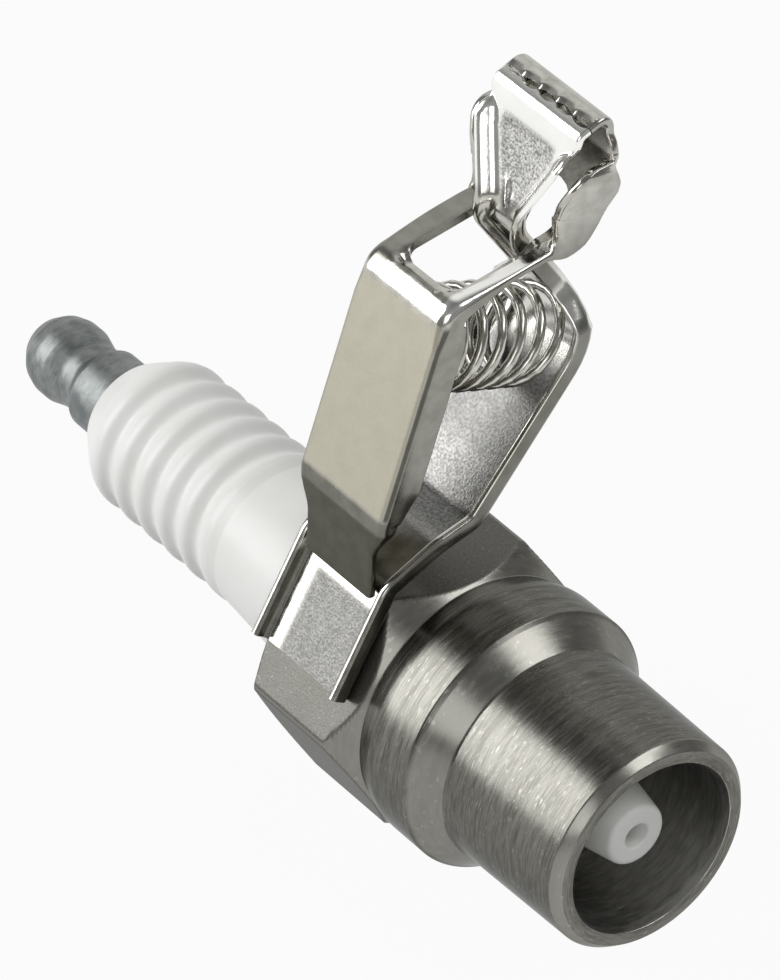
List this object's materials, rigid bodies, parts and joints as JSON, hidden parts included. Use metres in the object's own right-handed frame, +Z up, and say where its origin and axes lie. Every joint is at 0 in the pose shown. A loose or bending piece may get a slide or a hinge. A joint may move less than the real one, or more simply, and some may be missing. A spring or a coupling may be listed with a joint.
{
  "type": "spark plug tester",
  "caption": "Spark plug body with an open barrel nose and no ground electrode, carrying a welded sprung clip that grounds it so the spark can be watched.",
  "frame": {"origin": "on the plug's axis, in the middle of the lead terminal's snap band", "axes": "+X along the plug towards its open nose, +Z up through the clip, square to the hexagon's top flat, +Y completes a right-handed frame"},
  "size_m": [0.0722, 0.0242, 0.0558],
  "materials": {
    "shell_steel": "nickel-plated steel with fine turned rings",
    "white_ceramic": "glossy white glaze",
    "core_metal": "plain bright steel",
    "seal_glass": "fused dark glass",
    "terminal_metal": "dull grey plating",
    "gasket_brass": "plain soft washer",
    "packing_talc": "pressed powder",
    "weld_steel": "bare weld",
    "clip_plate": "bright nickel plate over stamped sheet",
    "spring_wire": "bright plated wire"
  },
  "bodies": {
    "plug": {"shell": "shell_steel", "insulator": "white_ceramic", "centre_electrode": "core_metal", "glass_seal": "seal_glass", "terminal_stud": "core_metal", "terminal_nut": "terminal_metal", "seat_gasket": "gasket_brass", "lower_packing_ring": "core_metal", "talc_packing": "packing_talc", "upper_packing_ring": "core_metal", "weld_spots": "weld_steel", "clip_base": "clip_plate", "clip_spring": "spring_wire"},
    "lever": {"clip_lever": "clip_plate"}
  },
  "joints": [
    {"name": "lever_squeeze", "type": "hinge", "parent": "plug", "child": "lever", "pos_m": [0.04265, -0.00716, 0.011], "axis": [-1, 0, 0], "range_deg": [0, 12], "stiffness_Nm_per_rad": 0.1, "springref_deg": -20.05, "deforming": ["clip_spring"]}
  ]
}
